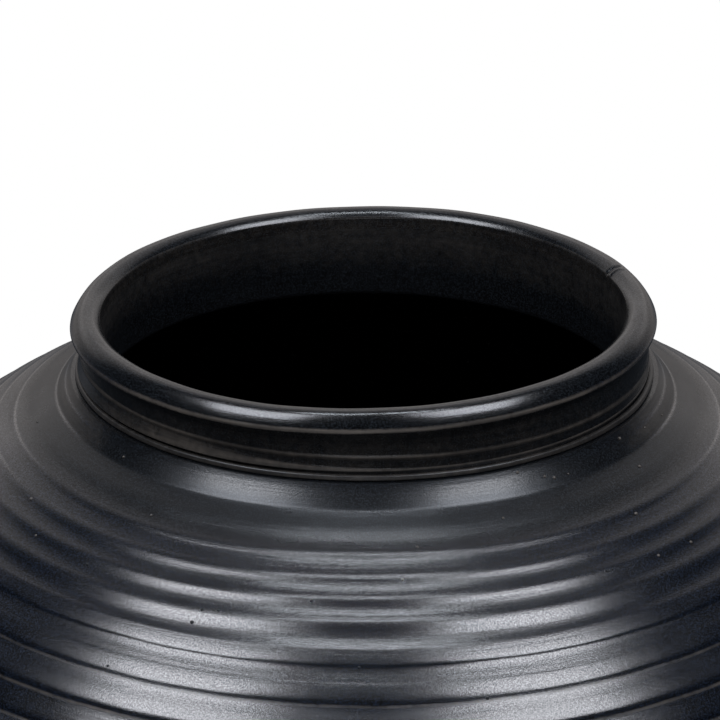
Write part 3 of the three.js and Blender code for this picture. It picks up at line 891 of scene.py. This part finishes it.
grit_mesh.materials.append(glaze)
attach(grit_piece, "root")

# Stage: a pale round table top with matt paint, small enough to stay out of the front view.
TABLE_RADIUS = 0.36
TABLE_PAINT = "e4e3e1"
table_turn = even_turns(160)
table_rim = TABLE_RADIUS * np.column_stack([np.sin(table_turn), -np.cos(table_turn), 0.0 * table_turn])
table_mesh = bpy.data.meshes.new("pale_table")
table_mesh.from_pydata(table_rim, [], [list(range(len(table_rim)))])
table = bpy.data.objects.new("pale_table", table_mesh)
bpy.context.scene.collection.objects.link(table)
# Matt white paint, as on a studio table.
paint, shader = new_material("matt_white_paint")
fill(paint, shader, {"Base Color": linear(TABLE_PAINT), "Roughness": 0.7})
table_mesh.materials.append(paint)

# Studio: a white sweep behind the vase that fades towards its ends, the floor and the dim room in front,
# two soft boxes to the left and right, a narrow strip overhead between them and a weak fill in front. The
# camera sees plain white past the vase.
SWEEP_ENDS = (0.60, 1.10)
SWEEP_SIDES = (0.14, 0.36)
SWEEP_FLOOR = (-0.3, -0.08)
SWEEP_LOW = (0.08, 0.25)
SWEEP_HIGH = (0.25, 0.4)
SWEEP_LEVEL = 0.49
SWEEP_END_LEVEL = 0.031
SWEEP_SIDE_SHARE = 0.12
SWEEP_LOW_SHARE = 0.55
SWEEP_MIDDLE_SHARE = 1.3
SWEEP_HIGH_SHARE = 0.77
SWEEP_FLOOR_SHARE = 0.1
ROOM_LEVEL = 0.026
SWEEP_LIT = 0.22
ROOM_TINT = "d8e8ff"
SWEEP_TINT = "fff8f5"
SOFT_BOX_DISTANCE = 1.3
SOFT_BOX_RADIANCE = 8.9
SOFT_BOX_TINT = "fcf9f9"
STRIP_DISTANCE = 1.1
STRIP_RADIANCE = 21.3
FILL_DISTANCE = 1.7
FILL_RADIANCE = 1.6
FILL_TINT = "fff6ee"
AIM = np.array([0.0, -0.07, 0.22])
world = bpy.data.worlds.new("white_sweep")
world.use_nodes = True
bpy.context.scene.world = world
sky = world.node_tree.nodes["Background"]
look = node(world, "ShaderNodeTexCoord").outputs["Generated"]
toward = node(world, "ShaderNodeSeparateXYZ", {"Vector": look}).outputs
camera_sees = node(world, "ShaderNodeLightPath").outputs["Is Camera Ray"]
sideways = node(world, "ShaderNodeMath", {0: toward["X"]}, operation="ABSOLUTE")
azimuth = node(world, "ShaderNodeMath", {0: sideways, 1: toward["Y"]}, operation="ARCTAN2")
ends = node(world, "ShaderNodeMapRange", {
    "Value": azimuth,
    "From Min": SWEEP_ENDS[0],
    "From Max": SWEEP_ENDS[1],
    "To Min": SWEEP_LEVEL,
    "To Max": SWEEP_END_LEVEL,
}, interpolation_type="SMOOTHSTEP")
behind = node(world, "ShaderNodeMapRange", {
    "Value": toward["Y"],
    "From Min": SWEEP_SIDES[0],
    "From Max": SWEEP_SIDES[1],
    "To Min": SWEEP_SIDE_SHARE,
}, interpolation_type="SMOOTHSTEP")
under = node(world, "ShaderNodeMapRange", {
    "Value": toward["Z"],
    "From Min": SWEEP_LOW[0],
    "From Max": SWEEP_LOW[1],
    "To Min": SWEEP_LOW_SHARE,
    "To Max": SWEEP_MIDDLE_SHARE,
})
glow = node(world, "ShaderNodeMapRange", {
    "Value": toward["Z"],
    "From Min": SWEEP_HIGH[0],
    "From Max": SWEEP_HIGH[1],
    "To Min": 1.0,
    "To Max": SWEEP_HIGH_SHARE,
})
floor = node(world, "ShaderNodeMapRange", {
    "Value": toward["Z"],
    "From Min": SWEEP_FLOOR[0],
    "From Max": SWEEP_FLOOR[1],
    "To Min": SWEEP_FLOOR_SHARE,
})
wide = node(world, "ShaderNodeMath", {0: ends, 1: behind}, operation="MULTIPLY")
high = node(world, "ShaderNodeMath", {0: under, 1: glow}, operation="MULTIPLY")
tall = node(world, "ShaderNodeMath", {0: high, 1: floor}, operation="MULTIPLY")
sweep = node(world, "ShaderNodeMath", {0: wide, 1: tall}, operation="MULTIPLY")
dim = node(world, "ShaderNodeMath", {0: sweep, 1: ROOM_LEVEL}, operation="MAXIMUM")
shade = node(world, "ShaderNodeMath", {0: dim, 1: camera_sees}, operation="MAXIMUM")
lit = node(world, "ShaderNodeMapRange", {"Value": shade, "From Min": ROOM_LEVEL, "From Max": SWEEP_LIT})
tint = node(world, "ShaderNodeMix", {
    "Factor": lit,
    "A": linear(ROOM_TINT),
    "B": linear(SWEEP_TINT),
}, data_type="RGBA")
plain_white = node(world, "ShaderNodeMix", {
    "Factor": camera_sees,
    "A": tint,
    "B": linear("ffffff"),
}, data_type="RGBA")
fill(world, sky, {"Color": plain_white, "Strength": shade})


def soft_box(name, direction, long_axis, size, distance, radiance, tint):
    """A square-cornered area lamp that faces the vase from a direction, its long side along an axis
    made square to that direction. Its power is radiance times pi times its area."""
    back = np.array(direction) / np.linalg.norm(direction)
    long_side = np.array(long_axis) - back * np.dot(long_axis, back)
    long_side /= np.linalg.norm(long_side)
    lamp = bpy.data.lights.new(name, "AREA")
    lamp.shape = "RECTANGLE"
    lamp.size, lamp.size_y = size
    lamp.energy = radiance * np.pi * size[0] * size[1]
    lamp.color = linear(tint)[:3]
    turn = np.eye(4)
    turn[:3, :3] = np.column_stack([long_side, np.cross(back, long_side), back])
    turn[:3, 3] = AIM + back * distance
    box = bpy.data.objects.new(name, lamp)
    box.matrix_world = Matrix(turn.tolist())
    bpy.context.scene.collection.objects.link(box)


soft_box("left_soft_box", (-0.499, -0.244, 0.84), (0.776, -0.563, 0.284), (0.6, 0.69),
         SOFT_BOX_DISTANCE, SOFT_BOX_RADIANCE, SOFT_BOX_TINT)
soft_box("right_soft_box", (0.465, -0.248, 0.838), (0.776, 0.563, -0.284), (0.565, 0.69),
         SOFT_BOX_DISTANCE, SOFT_BOX_RADIANCE, SOFT_BOX_TINT)
soft_box("overhead_strip", (0.0, 0.03, 1.0), (1.0, 0.0, 0.0), (0.55, 0.045),
         STRIP_DISTANCE, STRIP_RADIANCE, "ffffff")
soft_box("front_fill", (0.0, -1.0, 0.05), (1.0, 0.0, 0.0), (1.0, 0.45),
         FILL_DISTANCE, FILL_RADIANCE, FILL_TINT)

# Camera: a long lens from above and in front, level from side to side.
CAMERA_AT = (-0.00098, -0.699, 0.5158)
CAMERA_TILT = np.radians(68.17)
LENS_MM = 175.0
SENSOR_MM = 36.0
camera_data = bpy.data.cameras.new("camera")
camera_data.sensor_width = SENSOR_MM
camera_data.lens = LENS_MM
camera = bpy.data.objects.new("camera", camera_data)
camera.location = CAMERA_AT
camera.rotation_euler = (CAMERA_TILT, 0.0, 0.0)
bpy.context.scene.collection.objects.link(camera)
bpy.context.scene.camera = camera
bpy.context.scene.view_settings.view_transform = "Standard"
